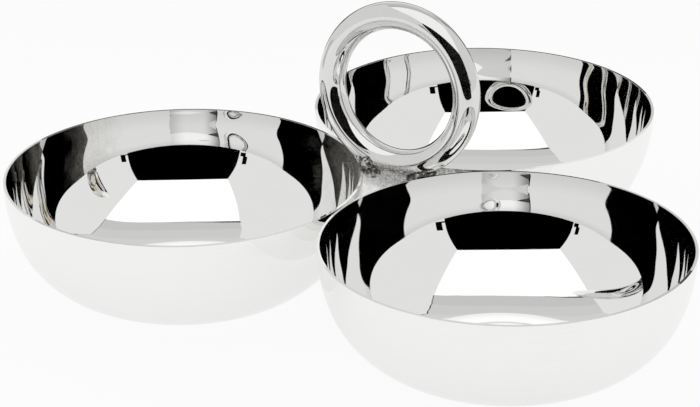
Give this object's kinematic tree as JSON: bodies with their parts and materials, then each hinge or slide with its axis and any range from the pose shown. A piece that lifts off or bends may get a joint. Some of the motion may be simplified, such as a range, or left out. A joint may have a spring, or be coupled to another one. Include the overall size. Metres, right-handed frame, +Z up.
{
  "type": "divided serving bowl",
  "caption": "Mirror-polished steel snack server: round deep bowls joined rim to rim in a triangle, carried by an upright ring handle at the middle.",
  "frame": {"origin": "on the table, at the middle of the footprint's bounding box", "axes": "+Z up; +Y towards the back bowl; +X towards the right front bowl, along the row of the two front bowls"},
  "size_m": [0.3044, 0.284, 0.1254],
  "materials": {
    "polished_steel": "mirror polished",
    "polished_bar": "mirror polished",
    "braze": "rough, as set"
  },
  "bodies": {
    "root": {"bowl_left": "polished_steel", "bowl_right": "polished_steel", "bowl_back": "polished_steel", "ring_handle": "polished_bar", "bowl_braze_front": "braze", "bowl_braze_left": "braze", "bowl_braze_right": "braze", "ring_braze_left": "braze", "ring_braze_right": "braze", "ring_braze_back": "braze"}
  },
  "joints": []
}
